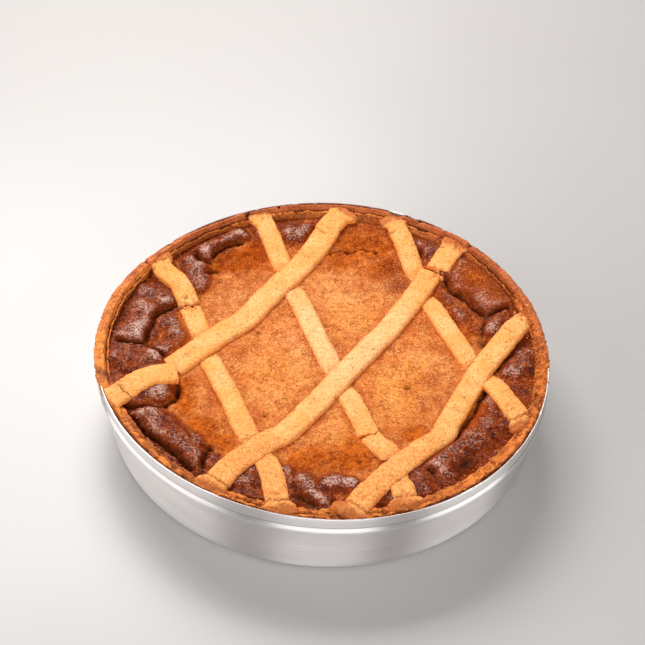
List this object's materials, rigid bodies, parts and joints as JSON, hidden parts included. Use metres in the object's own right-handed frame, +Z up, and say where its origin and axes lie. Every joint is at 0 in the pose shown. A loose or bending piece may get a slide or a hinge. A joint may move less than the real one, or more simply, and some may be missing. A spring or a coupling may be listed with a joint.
{
  "type": "lattice pie in a tin",
  "caption": "Round baked ricotta pie with a sunken, puffed filling, a torn pastry case and a hand-laid pastry lattice, in its own straight-sided metal baking tin.",
  "frame": {"origin": "centre of the tin's flat underside", "axes": "+Z up out of the pie's top, +X to the right and +Y away as the pie is seen"},
  "size_m": [0.281, 0.281, 0.0507],
  "materials": {
    "tin": "bare spun aluminium, fine turning lines, satin",
    "pastry_case": "baked shortcrust pastry, browned, matt and crumbly",
    "filling": "baked ricotta and wheat cream with a browned glossy skin",
    "lattice": "baked shortcrust pastry strips, golden, matt"
  },
  "bodies": {
    "root": {"tin": "tin", "pastry_case": "pastry_case", "filling": "filling", "strip_under_left_back": "lattice", "strip_under_left_front": "lattice", "strip_under_middle_back": "lattice", "strip_under_middle_front": "lattice", "strip_under_right": "lattice", "strip_over_left_back": "lattice", "strip_over_left_front": "lattice", "strip_over_middle_back": "lattice", "strip_over_middle_front": "lattice", "strip_over_right": "lattice"}
  },
  "joints": []
}
